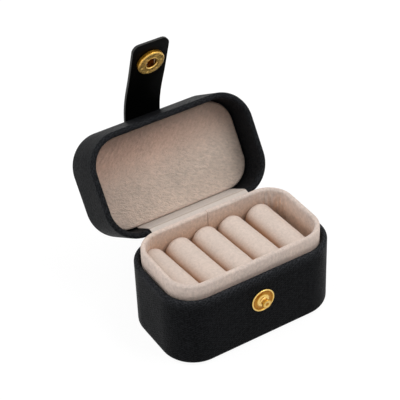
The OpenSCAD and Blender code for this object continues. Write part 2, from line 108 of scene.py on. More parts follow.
# %% Camera
azimuth, elevation, roll = radians(-30.47), radians(38.01), radians(-2.47)
distance, aside, above = 732.52, -16.79, 54.6
away = Vector((sin(azimuth) * cos(elevation), -cos(azimuth) * cos(elevation), sin(elevation)))
level = Vector((cos(azimuth), sin(azimuth), 0))
upright = away.cross(level)
right = level * cos(roll) + upright * sin(roll)
up = upright * cos(roll) - level * sin(roll)
eye = away * distance + right * aside + up * above
turned = Matrix((right, up, away)).transposed()
camera_data = bpy.data.cameras.new("camera")
camera_data.lens, camera_data.sensor_width = 127.99, 36.0
camera_data.clip_start, camera_data.clip_end = 0.01, 20.0
camera = bpy.data.objects.new("camera", camera_data)
bpy.context.scene.collection.objects.link(camera)
camera.matrix_world = Matrix.Translation(eye * 0.001) @ turned.to_4x4()
bpy.context.scene.camera = camera
print("camera at", [round(c, 3) for c in camera.matrix_world.translation])

# %% [markdown]
# ## Small helpers for finishes
# A material here is a few texture nodes round one Principled shader. Short helpers keep each recipe on a few lines:
# they start a material, add a node and fill its sockets, and mix values or colours. Patterns read Object coordinates
# in metres, so a scale of 500 makes spots of about 2 mm.

# %% Helpers for finishes


def start_finish(name, **sockets):
    finish = bpy.data.materials.new(name)
    finish.use_nodes = True
    tree = finish.node_tree
    tree.nodes.clear()
    shader = add_node(tree, "ShaderNodeBsdfPrincipled", **sockets)
    add_node(tree, "ShaderNodeOutputMaterial", Surface=shader.outputs["BSDF"])
    return finish, tree, shader


def feed(tree, socket, value):
    """Links a socket to what another node gives, or writes a plain value into it."""
    if isinstance(value, bpy.types.NodeSocket):
        tree.links.new(value, socket)
    else:
        socket.default_value = value


def add_node(tree, kind, settings=None, **sockets):
    node = tree.nodes.new(kind)
    for key, value in (settings or {}).items():
        setattr(node, key, value)
    for key, value in sockets.items():
        feed(tree, node.inputs[key.replace("_", " ")], value)
    return node


def two_way(tree, operation, a, b):
    node = add_node(tree, "ShaderNodeMath", {"operation": operation})
    feed(tree, node.inputs[0], a)
    feed(tree, node.inputs[1], b)
    return node.outputs[0]


def weigh(tree, first, second, share):
    return two_way(tree, "ADD", two_way(tree, "MULTIPLY", first, share), two_way(tree, "MULTIPLY", second, 1 - share))


def place_of(tree):
    return add_node(tree, "ShaderNodeTexCoord").outputs["Object"]


def marked(tree, name):
    """Reads a value that the piece carries at its vertices."""
    return add_node(tree, "ShaderNodeAttribute", {"attribute_name": name}).outputs["Fac"]


def noise_field(tree, where, scale, detail=3.0, rough=0.55, twist=0.0):
    return add_node(
        tree, "ShaderNodeTexNoise", Vector=where, Scale=scale, Detail=detail, Roughness=rough, Distortion=twist
    ).outputs["Fac"]


def spread(tree, value, low, high, to_low=0.0, to_high=1.0):
    return add_node(
        tree, "ShaderNodeMapRange", Value=value, From_Min=low, From_Max=high, To_Min=to_low, To_Max=to_high
    ).outputs[0]


def blend_colours(tree, factor, first, second):
    node = add_node(tree, "ShaderNodeMix", {"data_type": "RGBA"})
    tree.links.new(factor, node.inputs[0])
    for socket, value in ((node.inputs[6], first), (node.inputs[7], second)):
        feed(tree, socket, (*value, 1.0) if isinstance(value, tuple) else value)
    return node.outputs[2]


def raise_surface(tree, shader, height, distance):
    bump = add_node(tree, "ShaderNodeBump", Height=height, Distance=distance, Strength=1.0)
    tree.links.new(bump.outputs["Normal"], shader.inputs["Normal"])


print("helpers for finishes are ready")

# %% [markdown]
# ## Cross-grain leather
# The box is covered in black leather that has been pressed with a fine criss-cross of slanting ridges. The ridges
# have to follow the leather round the corners, so they are drawn on the piece's own UV map, laid out in millimetres.
# Two sets of wavy bands cross at an angle, and noise breaks the ridges into short strokes. Along the rims the leather
# is painted paler: a painted highlight where the rounded rim catches the lamps, set by an attribute at the vertices.

# %% Black leather


def cross_grain(name, dark, light, rough, gloss, depth, pitch=0.25):
    finish, tree, shader = start_finish(name, Roughness=rough, Specular_IOR_Level=gloss)
    lay = add_node(tree, "ShaderNodeUVMap", {"uv_map": "lay"}).outputs["UV"]
    where = place_of(tree)
    ridges = []
    for angle in (58, -62):
        slanted = add_node(tree, "ShaderNodeMapping", Vector=lay, Rotation=(0, 0, radians(angle))).outputs["Vector"]
        bands = add_node(
            tree, "ShaderNodeTexWave", Vector=slanted, Scale=pitch, Distortion=2.6, Detail=2.0, Detail_Scale=2.0
        )
        ridges.append(bands.outputs["Fac"])
    weave = two_way(tree, "MAXIMUM", ridges[0], ridges[1])
    breaks = noise_field(tree, where, 900, 2.0)
    broken = two_way(tree, "MULTIPLY", weave, spread(tree, breaks, 0.35, 0.62, 0.2, 1.0))
    patches = noise_field(tree, where, 60, 3.0)
    tone = weigh(tree, broken, patches, 0.7)
    # The pale colour is a painted highlight for the rims, laid on by the vertex attribute.
    pale = blend_colours(tree, tone, tuple(2 * c for c in dark), tuple(3.4 * c for c in light))
    colour = blend_colours(tree, marked(tree, "painted_light_and_wear"), blend_colours(tree, tone, dark, light), pale)
    tree.links.new(colour, shader.inputs["Base Color"])
    tree.links.new(spread(tree, patches, 0.3, 0.7, rough - 0.05, rough + 0.06), shader.inputs["Roughness"])
    raise_surface(tree, shader, broken, depth)
    return finish


leather = cross_grain(
    "black_leather", (0.0009, 0.0010, 0.0012), (0.0148, 0.0155, 0.0172), rough=0.42, gloss=0.013, depth=0.0002
)
smooth_leather = cross_grain(
    "black_smooth_leather", (0.0003, 0.0003, 0.0003), (0.0016, 0.0015, 0.0013), rough=0.45, gloss=0.05, depth=0.00003
)
print("leathers:", leather.name, smooth_leather.name)

# %% [markdown]
# The strap's cut edge is painted, so it is smoother and greyer than the leather's face and catches the light.

# %% Painted leather edge
edge_paint, tree, shader = start_finish("edge_paint", Roughness=0.5, Specular_IOR_Level=0.12)
drift = noise_field(tree, place_of(tree), 700, 3.0)
tree.links.new(blend_colours(tree, drift, (0.012, 0.012, 0.012), (0.04, 0.039, 0.037)), shader.inputs["Base Color"])
raise_surface(tree, shader, drift, 0.00005)
print("edge finish:", edge_paint.name)

# %% [markdown]
# ## Suede
# The lining is a soft beige suede. Its nap is brushed a little this way and that, which shows as small spots a
# millimetre or two wide over finer fibres. Sheen gives the pale bloom that nap shows where it is seen edge-on.
# Where shade falls, deep beside the rolls, low inside the collar and under the lid's wall, the suede is painted a
# warmer and deeper colour: painted shade, standing in for the warm light bounced round the tray. Each piece carries
# its amount as an attribute of its own. On the lid's pad the nap was brushed in short slanting strokes, one way in
# the open and the other way where the painted shade lies.

# %% Suede
LID_LEAN = 180 - OPEN_ANGLE


def brushed(tree, where, turn, longer=2.1):
    """Stretches a pattern along one direction in the plane of the open lid's pad."""
    way = (Matrix.Rotation(radians(LID_LEAN), 3, "X") @ Matrix.Rotation(radians(turn), 3, "Z")).to_euler()
    return add_node(
        tree, "ShaderNodeMapping", {"vector_type": "TEXTURE"}, Vector=where, Rotation=way, Scale=(longer, 1, 1)
    ).outputs["Vector"]


def suede(name, open_nap, shade_paint_colour, spot, contrast, lift, upright=1.0, strokes=()):
    """Spot is the size of the nap's spots as a scale, lift the height of its relief in metres."""
    finish, tree, shader = start_finish(
        name, Roughness=0.9, Specular_IOR_Level=0.1, Sheen_Weight=0.16, Sheen_Roughness=0.4
    )
    shader.inputs["Sheen Tint"].default_value = (0.97, 0.91, 0.86, 1.0)
    # The attribute read here is painted shade; on the pad it also chooses the stroke direction.
    where, painted_shade = place_of(tree), marked(tree, "painted_shade")
    if strokes:
        fields = [noise_field(tree, brushed(tree, where, turn), spot, 2.0, 0.6, 0.5) for turn in strokes]
        mix = add_node(tree, "ShaderNodeMix", {"data_type": "FLOAT"})
        for socket, value in zip((mix.inputs[0], mix.inputs[2], mix.inputs[3]), [painted_shade] + fields):
            tree.links.new(value, socket)
        spots = mix.outputs[0]
    else:
        where = add_node(tree, "ShaderNodeMapping", Vector=where, Scale=(1, 1, upright)).outputs["Vector"]
        spots = noise_field(tree, where, spot, 2.0, 0.6)
    clouds = noise_field(tree, where, 70, 2.0)
    fibres = noise_field(tree, where, 2600, 2.0)
    nap = weigh(tree, spots, fibres, 0.7)
    level = spread(tree, weigh(tree, nap, clouds, 0.75), 0.35, 0.65, 1 - contrast, 1 + contrast)
    # Painted shade, plus a faint random tone, moves the colour towards the deeper, warmer painted-shade colour.
    drift = two_way(tree, "ADD", painted_shade, spread(tree, clouds, 0.3, 0.7, -0.06, 0.06))
    colour = blend_colours(tree, spread(tree, drift, 0, 1), open_nap, shade_paint_colour)
    shaded = add_node(tree, "ShaderNodeVectorMath", {"operation": "SCALE"})
    tree.links.new(colour, shaded.inputs["Vector"])
    tree.links.new(level, shaded.inputs["Scale"])
    tree.links.new(shaded.outputs["Vector"], shader.inputs["Base Color"])
    raise_surface(tree, shader, nap, lift)
    return finish


def mark(bm, name, amount):
    """Writes a value from 0 to 1 at each vertex: painted shade on suede, painted highlight on leather, painted light
    and wear on gold.
    """
    layer = bm.verts.layers.float.new(name)
    for vert in bm.verts:
        vert[layer] = min(max(amount(vert.co), 0.0), 1.0)


# The second colour of each suede is its painted shade.
collar_finish = suede(
    "collar_suede", (0.635, 0.535, 0.48), (0.68, 0.465, 0.335), spot=700, contrast=0.17, lift=0.00034, upright=0.75
)
roll_finish = suede(
    "roll_suede", (0.63, 0.525, 0.46), (0.45, 0.255, 0.15), spot=800, contrast=0.1, lift=0.0002
)
pad_finish = suede(
    "pad_suede", (0.675, 0.55, 0.465), (0.56, 0.375, 0.295), spot=850, contrast=0.2, lift=0.001, strokes=(-28, 35)
)
strip_finish = suede(
    "strip_suede", (0.61, 0.54, 0.49), (0.4, 0.31, 0.25), spot=800, contrast=0.06, lift=0.00006
)
print("suedes:", [f.name for f in (collar_finish, roll_finish, pad_finish, strip_finish)])

# %% [markdown]
# ## Metal, board, foam and felt
# The snap is pressed brass with a gold finish: a metal shader with a slightly uneven roughness, as a pressed and
# plated part has. Its colour is pale where it is rubbed and where painted highlights stand in for reflections, and
# brown in its hollows and dark bands, partly patina and partly painted shade. What lies inside the box, out of sight,
# still gets its own plain finish.

# %% Metal and inner materials


def plain_finish(name, low, high, scale, depth, **sockets):
    finish, tree, shader = start_finish(name, **sockets)
    grain = noise_field(tree, place_of(tree), scale, 4.0, 0.6)
    tree.links.new(blend_colours(tree, spread(tree, grain, 0.3, 0.7), low, high), shader.inputs["Base Color"])
    rough = sockets.get("Roughness", 0.5)
    tree.links.new(spread(tree, grain, 0.3, 0.7, rough - 0.05, rough + 0.07), shader.inputs["Roughness"])
    raise_surface(tree, shader, grain, depth)
    return finish


gold, tree, shader = start_finish("gold", Metallic=0.8, Roughness=0.3)
stain = noise_field(tree, place_of(tree), 700, 3.0)
# The attribute holds rubbed wear and painted light; low values give brown, partly patina and partly painted shade.
lit_and_rubbed = two_way(tree, "ADD", marked(tree, "painted_light_and_wear"), spread(tree, stain, 0.3, 0.7, -0.03, 0.03))
shade_and_patina = blend_colours(tree, spread(tree, lit_and_rubbed, 0.0, 0.5), (0.27, 0.07, 0.008), (0.44, 0.215, 0.016))
tree.links.new(
    blend_colours(tree, spread(tree, lit_and_rubbed, 0.5, 1.0), shade_and_patina, (0.82, 0.56, 0.17)), shader.inputs["Base Color"]
)
tree.links.new(spread(tree, stain, 0.3, 0.7, 0.24, 0.36), shader.inputs["Roughness"])
raise_surface(tree, shader, stain, 0.000005)
wire = plain_finish("spring_wire", (0.74, 0.64, 0.46), (0.86, 0.78, 0.6), 900, 0.00001, Metallic=1.0, Roughness=0.28)
moulding = plain_finish("moulding", (0.03, 0.03, 0.032), (0.05, 0.05, 0.052), 2500, 0.00003, Roughness=0.55)
board = plain_finish("board", (0.22, 0.17, 0.115), (0.32, 0.25, 0.18), 800, 0.0001, Roughness=0.85)
foam = plain_finish("foam", (0.70, 0.64, 0.50), (0.84, 0.78, 0.64), 1300, 0.0003, Roughness=0.95)
felt = plain_finish("base_felt", (0.006, 0.006, 0.007), (0.016, 0.016, 0.018), 1800, 0.0001, Roughness=0.93)
for name, finish in {
    "base_shell": moulding, "lid_shell": moulding, "bottom_panel": felt, "collar_frame": board, "pad_board": board,
    "bed_foam": foam, "pad_foam": foam, "stud_rivet": wire, "socket_spring": wire,
    **{f"ring_roll_core_{k}": foam for k in range(1, 6)},
}.items():
    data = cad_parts[name].data
    data.materials.clear()
    data.materials.append(finish)
print("finished the inner pieces of the frame")

# %% [markdown]
# ## Helpers for shapes
# Most of this box is a wall that runs round a rectangle with round corners. The natural way to make it is to draw
# the wall's section once, at the middle of the back, and carry it round: along a side, round a corner, and so on.
# Blender's spin does both, with an angle at a corner and a plain shift along a side.

# %% Helpers for shapes


def round_arc(centre, radius, start, end, steps):
    turns = [radians(start + (end - start) * i / steps) for i in range(steps + 1)]
    return [(centre[0] + radius * cos(a), centre[1] + radius * sin(a)) for a in turns]


def draw_line(bm, points):
    """Joins the points by edges and returns the new vertices and edges."""
    verts = [bm.verts.new(p) for p in points]
    return verts + [bm.edges.new(pair) for pair in zip(verts, verts[1:])]


def carry(bm, line, steps, move=(0, 0, 0), angle=0.0, about=(0, 0, 0), axis=(0, 0, 1)):
    done = bmesh.ops.spin(
        bm, geom=line, cent=about, axis=axis, dvec=Vector(move) / steps, angle=angle, steps=steps, use_duplicate=False
    )
    return [e for e in done["geom_last"] if not isinstance(e, bmesh.types.BMFace)]


def carry_round(bm, section, length, depth, radius, gap=0.0, side_steps=8, corner_steps=24):
    """Carries a section, drawn as (outwards, height), round a rectangle from the middle of its back."""
    hx, hy = length / 2 - radius, depth / 2 - radius
    line = draw_line(bm, [(-gap / 2, hy + out, z) for out, z in section])
    corners = [(-hx, hy, 0), (-hx, -hy, 0), (hx, -hy, 0), (hx, hy, 0)]
    moves = [(gap / 2 - hx, 0, 0), (0, -2 * hy, 0), (2 * hx, 0, 0), (0, 2 * hy, 0)]
    for corner, move in zip(corners, moves):
        line = carry(bm, line, side_steps, move=move)
        line = carry(bm, line, corner_steps, angle=pi / 2, about=corner)
    carry(bm, line, side_steps, move=(gap / 2 - hx, 0, 0))


def settle(bm, near=0.002):
    """Joins what meets and turns every face outwards."""
    bmesh.ops.remove_doubles(bm, verts=bm.verts, dist=near)
    bmesh.ops.recalc_face_normals(bm, faces=bm.faces)


def spin_round(points, axis, steps):
    """Spins a line all the way round an axis through zero."""
    bm = bmesh.new()
    bmesh.ops.spin(
        bm, geom=draw_line(bm, points), cent=(0, 0, 0), axis=axis, dvec=(0, 0, 0), angle=2 * pi, steps=steps,
        use_merge=True, use_duplicate=False,
    )
    settle(bm)
    return bm


def face_towards(bm, spot, way):
    """Turns a sheet over if its face at a spot looks away from the given direction."""
    probe = min(bm.faces, key=lambda f: (f.calc_center_median() - Vector(spot)).length)
    if probe.normal.dot(Vector(way)) < 0:
        bmesh.ops.reverse_faces(bm, faces=bm.faces)


def make_piece(name, bm, finishes, body=None, stands_for=(), sharp=40):
    """Scales the drawing to metres and puts it on its body, in place of the frame's solids."""
    if bm.calc_volume(signed=True) < 0:
        bmesh.ops.reverse_faces(bm, faces=bm.faces)
    bmesh.ops.scale(bm, vec=(0.001, 0.001, 0.001), verts=bm.verts)
    mesh = bpy.data.meshes.new(name)
    bm.to_mesh(mesh)
    bm.free()
    for finish in finishes:
        mesh.materials.append(finish)
    mesh.shade_smooth()
    mesh.set_sharp_from_angle(angle=radians(sharp))
    piece = bpy.data.objects.new(name, mesh)
    bpy.context.scene.collection.objects.link(piece)
    if body:
        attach(piece, body)
    if stands_for:
        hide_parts(*stands_for)
    print(name, "has", len(mesh.polygons), "faces")
    return piece


# %% [markdown]
# ## Leather on the base and the lid
# The base and the lid are the same kind of tub: leather comes from under the foot, round it, up the wall, over the
# rim and a little way down inside. So one drawing of that path serves both. The leather gets its thickness
# afterwards, on the side that is glued to the shell.

# %% Leather-covered walls


def wall_path(height, turn_in, inner):
    foot = round_arc((CORNER_R - EDGE_R, EDGE_R), EDGE_R, -90, 0, 8)
    rim = round_arc((CORNER_R - RIM_R, height - RIM_R), RIM_R, 0, 180, 14)
    wall = [(CORNER_R, EDGE_R + (height - RIM_R - EDGE_R) * k / 10) for k in range(1, 10)]
    return [(inner, 0.0)] + foot + wall + rim + [(CORNER_R - WALL_T, height - turn_in)]


def lay_round(bm, height):
    """Lays the UV map out flat, in millimetres: round the box, and along the path over foot, wall and rim."""
    hx, hy = BOX_LEN / 2 - CORNER_R, BOX_DEP / 2 - CORNER_R
    quarter = hx + CORNER_R * pi / 2 + hy
    foot_out, rim_out, rim_up = CORNER_R - EDGE_R, CORNER_R - RIM_R, height - RIM_R
    wall_at = foot_out + EDGE_R * pi / 2
    rim_at = wall_at + rim_up - EDGE_R
    lay = bm.loops.layers.uv.new("lay")
    for face in bm.faces:
        middle = face.calc_center_median()
        flat = abs(face.normal.z) > 0.99 and middle.z < EDGE_R
        for loop in face.loops:
            x, y, z = loop.vert.co
            ax, ay = abs(x), abs(y)
            if ax <= hx:
                round_it = ax
            elif ay > hy:
                round_it = hx + CORNER_R * atan2(ax - hx, ay - hy)
            else:
                round_it = hx + CORNER_R * pi / 2 + hy - ay
            if middle.y > 0:
                round_it = 2 * quarter - round_it
            out = max(ax - hx, 0) if ay <= hy else hypot(max(ax - hx, 0), ay - hy)
            if z < EDGE_R:
                up_it = foot_out + EDGE_R * atan2(max(out - foot_out, 0), EDGE_R - z)
            elif z > rim_up:
                up_it = rim_at + RIM_R * atan2(z - rim_up, out - rim_out)
            elif out > rim_out:
                up_it = wall_at + z - EDGE_R
            else:
                up_it = rim_at + RIM_R * pi + rim_up - z
            loop[lay].uv = (x, y) if flat else (copysign(round_it, middle.x), up_it)


def leather_tub(height, turn_in, inner):
    bm = bmesh.new()
    carry_round(bm, wall_path(height, turn_in, inner), BOX_LEN, BOX_DEP, CORNER_R)
    settle(bm)
    return bm


BASE_TURN_IN, FOOT_TURN_IN, RIM_HIGHLIGHT_BAND = 9.0, 11.0, 3.0
bm = leather_tub(BASE_H, BASE_TURN_IN, CORNER_R - FOOT_TURN_IN)
face_towards(bm, (0, -BOX_DEP / 2, BASE_H / 2), (0, -1, 0))
bmesh.ops.solidify(bm, geom=bm.faces[:], thickness=WRAP_T)
lay_round(bm, BASE_H)
# Painted highlight in a band round the rim.
mark(bm, "painted_light_and_wear", lambda co: max(1 - abs(co.z - BASE_H) / RIM_HIGHLIGHT_BAND, 0))
base_leather = make_piece("base_leather", bm, [leather], "base", ["base_wrap"])
print("base leather reaches", [round(c, 4) for c in base_leather.dimensions])

# %% [markdown]
# The lid's leather also covers its top, so its path starts at the middle of the flat top. There the four corner
# fans meet a plain rectangle, which closes the sheet.

# %% Leather on the lid
PAD_DEPTH, UNDER_PAD = 15.6, 2.0
bm = leather_tub(LID_H, PAD_DEPTH + UNDER_PAD, 0.0)
rim = [e for e in bm.edges if e.is_boundary and all(abs(v.co.z) < 0.01 for v in e.verts)]
bmesh.ops.contextual_create(bm, geom=rim)
settle(bm)
face_towards(bm, (0, -BOX_DEP / 2, LID_H / 2), (0, -1, 0))
bmesh.ops.solidify(bm, geom=bm.faces[:], thickness=WRAP_T)
lay_round(bm, LID_H)
# A painted highlight half as strong round the lid's rim.
mark(bm, "painted_light_and_wear", lambda co: 0.5 * max(1 - abs(co.z - LID_H) / RIM_HIGHLIGHT_BAND, 0))
bmesh.ops.transform(bm, matrix=IN_LID, verts=bm.verts)
make_piece("lid_leather", bm, [leather], "lid", ["lid_wrap"])

# %% [markdown]
# ## The suede collar
# The collar is a strip of board bent into a ring, with suede glued over it. The strip of suede is wrapped round and
# its ends meet in the middle of the back, where the photograph shows a fine upright seam. Carrying the section round
# with a small gap at the back makes that seam by itself. In the corners the suede can't lie quite flat inside, so it
# stands in faint upright folds.

# %% Collar
COLLAR_INSET, COLLAR_T, COLLAR_RISE, SEAM_GAP, COLLAR_SUEDE = WALL_T + 0.65, 2.8, 7.3, 0.3, 0.55
COLLAR_LEN, COLLAR_DEP = BOX_LEN - 2 * COLLAR_INSET, BOX_DEP - 2 * COLLAR_INSET
COLLAR_R, COLLAR_TOP = CORNER_R - COLLAR_INSET, BASE_H + COLLAR_RISE
TRAY_LEN, TRAY_DEP, TRAY_R = COLLAR_LEN - 2 * COLLAR_T, COLLAR_DEP - 2 * COLLAR_T, COLLAR_R - COLLAR_T


def collar_path():
    half = COLLAR_T / 2
    outside = [(COLLAR_R, BASE_H - 12.0 + 18.0 * k / 8) for k in range(8)]
    top = round_arc((COLLAR_R - half, COLLAR_TOP - half), half, 0, 180, 12)
    inside = [(COLLAR_R - COLLAR_T, COLLAR_TOP - half - 22.0 * k / 12) for k in range(1, 13)]
    return outside + top + inside + [(COLLAR_R - COLLAR_T, SHELL_FLOOR_Z)]


def from_corner(co):
    """How far a point lies out from the centres of the collar's corners, along X and along Y."""
    hx, hy = COLLAR_LEN / 2 - COLLAR_R, COLLAR_DEP / 2 - COLLAR_R
    return Vector((max(abs(co.x) - hx, 0), max(abs(co.y) - hy, 0)))


def corner_fold(co):
    """How far the suede stands off the collar's inner corners, in faint upright folds."""
    out = from_corner(co)
    if min(out) <= 0 or out.length > COLLAR_R - COLLAR_T / 2:
        return 0.0
    turn = atan2(out.x, out.y)
    fade = min(max(COLLAR_TOP - 0.7 - co.z, 0) / 3.0, 1.0)
    where = Vector((turn * 10.5, co.z * 0.06, co.x * 0.02 + co.y * 0.03))
    return (noise.noise(where) + noise.noise(where * 2.1) * 0.45) * sqrt(sin(turn * 2)) * fade


def soften_corners(bm):
    """Raises the folds in the corners, and a faint ripple along the walls."""
    for vert in bm.verts:
        out = from_corner(vert.co)
        if out.length < 1 or out.length > COLLAR_R - COLLAR_T / 2 or vert.co.z > COLLAR_TOP - 0.7:
            continue
        ripple = noise.noise(Vector((vert.co.x * 0.12, vert.co.y * 0.12, vert.co.z * 0.1))) * 0.06
        amount = (corner_fold(vert.co) * 0.45 + ripple) / out.length
        vert.co.x += amount * copysign(out.x, vert.co.x)
        vert.co.y += amount * copysign(out.y, vert.co.y)


def collar_shade_paint(co):
    """Painted shade: a little on the outside, growing lower down; more on the inside, more and more on the way down,
    less towards the right end, and in the creases of the corners.
    """
    drop = COLLAR_TOP - co.z
    if from_corner(co).length > COLLAR_R - COLLAR_T / 2:
        return 0.1 + 0.15 * max(drop - 2, 0) / 6
    return 0.15 + drop / 12 - 0.5 * max(co.x, 0) / COLLAR_LEN + corner_fold(co) * 0.6


bm = bmesh.new()
carry_round(bm, collar_path(), COLLAR_LEN, COLLAR_DEP, COLLAR_R, gap=SEAM_GAP, side_steps=20, corner_steps=84)
settle(bm)
face_towards(bm, (0, -COLLAR_DEP / 2, BASE_H - 5), (0, -1, 0))
# Paints shade inside the collar and in its corner folds.
mark(bm, "painted_shade", collar_shade_paint)
soften_corners(bm)
bmesh.ops.solidify(bm, geom=bm.faces[:], thickness=COLLAR_SUEDE)
make_piece("collar_suede", bm, [collar_finish], "base", ["collar_lining"], 60)

# %% [markdown]
# ## Ring rolls
# Each roll is a foam bar in a suede sleeve, closed softly at both ends. A roll is a turned shape, so its outline is
# drawn from the middle of one end to the middle of the other and spun all the way round. Then it is treated as the
# soft thing it is: it flattens a little on the bed, wrinkles faintly across, and the outer ones give way to the
# collar's round corners.

# %% Roll helpers
ROLL_D, ROLL_GAP, BED_TOP, BED_SLOPE = 15.5, 0.05, 27.1, 1.8
ROLL_R, ROLL_PITCH, ROLL_LEN = ROLL_D / 2, ROLL_D + ROLL_GAP, TRAY_DEP - 0.8
ROLL_Z = BED_TOP + 0.1 + ROLL_R
END_R, ROLL_TURN, LAST_ROLL_TURN = 3.2, 3.2, 1.0


def roll_outline():
    half = ROLL_LEN / 2
    near = round_arc((-half + END_R, ROLL_R - END_R), END_R, 180, 90, 9)
    far = round_arc((half - END_R, ROLL_R - END_R), END_R, 90, 0, 9)
    middle = [(-half + END_R + (ROLL_LEN - 2 * END_R) * k / 28, ROLL_R) for k in range(1, 28)]
    caps = [0.0, 1.6, 3.1]
    return [(-half, r) for r in caps] + near + middle + far + [(half, r) for r in reversed(caps)]


def keep_in_tray(co, inset=0.12):
    """Pushes a point of a soft piece back inside the collar."""
    hx, hy, r = TRAY_LEN / 2 - TRAY_R, TRAY_DEP / 2 - TRAY_R, TRAY_R - inset
    co.x = min(max(co.x, inset - TRAY_LEN / 2), TRAY_LEN / 2 - inset)
    co.y = min(max(co.y, inset - TRAY_DEP / 2), TRAY_DEP / 2 - inset)
    dx, dy = abs(co.x) - hx, abs(co.y) - hy
    if dx > 0 and dy > 0 and hypot(dx, dy) > r:
        share = r / hypot(dx, dy)
        co.x = copysign(hx + dx * share, co.x)
        co.y = copysign(hy + dy * share, co.y)


def roll_shade_paint(co):
    """Painted shade, low on a roll's sides and at its ends."""
    side, end = max(ROLL_R - co.z - 0.7, 0) / 5, max(abs(co.y) - ROLL_LEN / 2 + END_R, 0) / 8
    return side**1.7 + end


print("each roll is", ROLL_D, "mm thick and", round(ROLL_LEN, 1), "mm long")

# %% Rolls
for k in range(1, 6):
    x_front = -TRAY_LEN / 2 + ROLL_GAP + ROLL_R + (k - 1) * ROLL_PITCH
    turned = Matrix.Rotation(radians(LAST_ROLL_TURN if k == 5 else ROLL_TURN), 4, "Z") @ turn_x(-BED_SLOPE)
    seat = shift(x_front, -ROLL_LEN / 2, ROLL_Z) @ turned @ shift(0, ROLL_LEN / 2, 0)
    bm = spin_round([(0, y, r) for y, r in roll_outline()], (0, 1, 0), 56)
    # Paints shade low on the roll's sides and at its ends.
    mark(bm, "painted_shade", roll_shade_paint)
    for vert in bm.verts:
        x, y, z = vert.co
        turn = atan2(x, z)
        place = Vector((cos(turn) * 0.8 + k * 7.3, sin(turn) * 0.8, y * 0.34))
        wrinkle = noise.noise(place) * 0.05 + noise.noise(place * 2.3) * 0.03
        swell = noise.noise(Vector((k * 3.1, y * 0.06, turn * 0.5))) * 0.06 - 0.05
        size = 1 + (wrinkle + swell) / ROLL_R
        vert.co = seat @ Vector((x * size, y, max(z * size, -ROLL_R)))
        keep_in_tray(vert.co)
    roll = make_piece(f"roll_suede_{k}", bm, [roll_finish], "base", [f"ring_roll_{k}"], 70)

# %% [markdown]
# ## Suede sheets: the bed and the lid's pad
# The bed is a flat sheet on foam, seen only beside the last roll. The pad in the lid is a board with thin foam under
# suede: flat, with a soft round edge and a slight crown. A grid gives even faces, and its square corners are pulled
# in to round ones by turning each corner's square into a quarter disc. The soft edge is then carried outwards and
# down in small steps.

# %% Soft sheets


def round_sheet(bm, length, depth, radius, cell):
    """A flat sheet with round corners, at height zero."""
    bmesh.ops.create_grid(bm, x_segments=round(length / cell), y_segments=round(depth / cell), size=0.5)
    bmesh.ops.scale(bm, vec=(length, depth, 1), verts=bm.verts)
    hx, hy = length / 2 - radius, depth / 2 - radius
    for vert in bm.verts:
        u, v = (abs(vert.co.x) - hx) / radius, (abs(vert.co.y) - hy) / radius
        if u > 0 and v > 0:
            vert.co.x = copysign(hx + radius * u * sqrt(1 - v * v / 2), vert.co.x)
            vert.co.y = copysign(hy + radius * v * sqrt(1 - u * u / 2), vert.co.y)


def outwards(co, length, depth, radius):
    """Direction from the sheet's edge straight outwards, and how far the edge is."""
    hx, hy = length / 2 - radius, depth / 2 - radius
    dx, dy = max(abs(co.x) - hx, 0), max(abs(co.y) - hy, 0)
    reach = hypot(dx, dy)
    if reach < 1e-6:
        return Vector((0, 0, 0)), min(length / 2 - abs(co.x), depth / 2 - abs(co.y))
    return Vector((copysign(dx, co.x), copysign(dy, co.y), 0)) / reach, radius - reach


def grow_edge(bm, offsets, length, depth, radius):
    """Carries the sheet's edge on through (outwards, up) steps."""
    edges = [e for e in bm.edges if e.is_boundary]
    for out, rise in offsets:
        grown = bmesh.ops.extrude_edge_only(bm, edges=edges)["geom"]
        fresh = {e for e in grown if isinstance(e, bmesh.types.BMVert)}
        for vert in fresh:
            vert.co += outwards(vert.co, length, depth, radius)[0] * out + Vector((0, 0, rise))
        edges = [e for e in grown if isinstance(e, bmesh.types.BMEdge) and set(e.verts) <= fresh]


bm = bmesh.new()
BED_GAP = 0.15
size = (TRAY_LEN - 2 * BED_GAP, TRAY_DEP - 2 * BED_GAP, TRAY_R - BED_GAP)
round_sheet(bm, *size, 1.4)
for vert in bm.verts:
    slope = (vert.co.y + TRAY_DEP / 2) * tan(radians(BED_SLOPE))
    vert.co.z = BED_TOP - 0.02 - slope + noise.noise(vert.co * 0.15) * 0.03
bmesh.ops.recalc_face_normals(bm, faces=bm.faces)
grow_edge(bm, [(0, -0.3), (0, -0.25)], *size)
bmesh.ops.contextual_create(bm, geom=[e for e in bm.edges if e.is_boundary])
settle(bm)
make_piece("bed_suede", bm, [collar_finish], "base", ["bed_lining"])

# %% Lid pad
PAD_INSET, PAD_EDGE, PAD_CROWN, PAD_SUEDE = WALL_T + 0.6, 1.6, 0.7, 0.7
PAD_LEN, PAD_DEP, PAD_R = BOX_LEN - 2 * PAD_INSET, BOX_DEP - 2 * PAD_INSET, CORNER_R - PAD_INSET
PAD_TOP, PAD_SEAT = LID_H - PAD_DEPTH, SHELL_FLOOR_Z
bm = bmesh.new()
size = (PAD_LEN - 2 * PAD_EDGE, PAD_DEP - 2 * PAD_EDGE, PAD_R - PAD_EDGE)
round_sheet(bm, *size, 0.9)
for vert in bm.verts:
    inwards = outwards(vert.co, *size)[1]
    share = min(max(inwards, 0) / (size[1] / 2), 1)
    soft = noise.noise(vert.co * 0.09) * 0.22 + noise.noise(vert.co * 0.31) * 0.07
    vert.co.z = PAD_TOP - PAD_CROWN * (1 - share) ** 2 + soft * min(inwards / 4, 1)
edge = round_arc((0, 0), PAD_EDGE, 90, 0, 7)
steps = [(b[0] - a[0], b[1] - a[1]) for a, b in zip(edge, edge[1:])]
down = PAD_TOP - PAD_CROWN - PAD_EDGE - PAD_SEAT
grow_edge(bm, steps + [(0, -down / 5)] * 5, *size)
settle(bm)
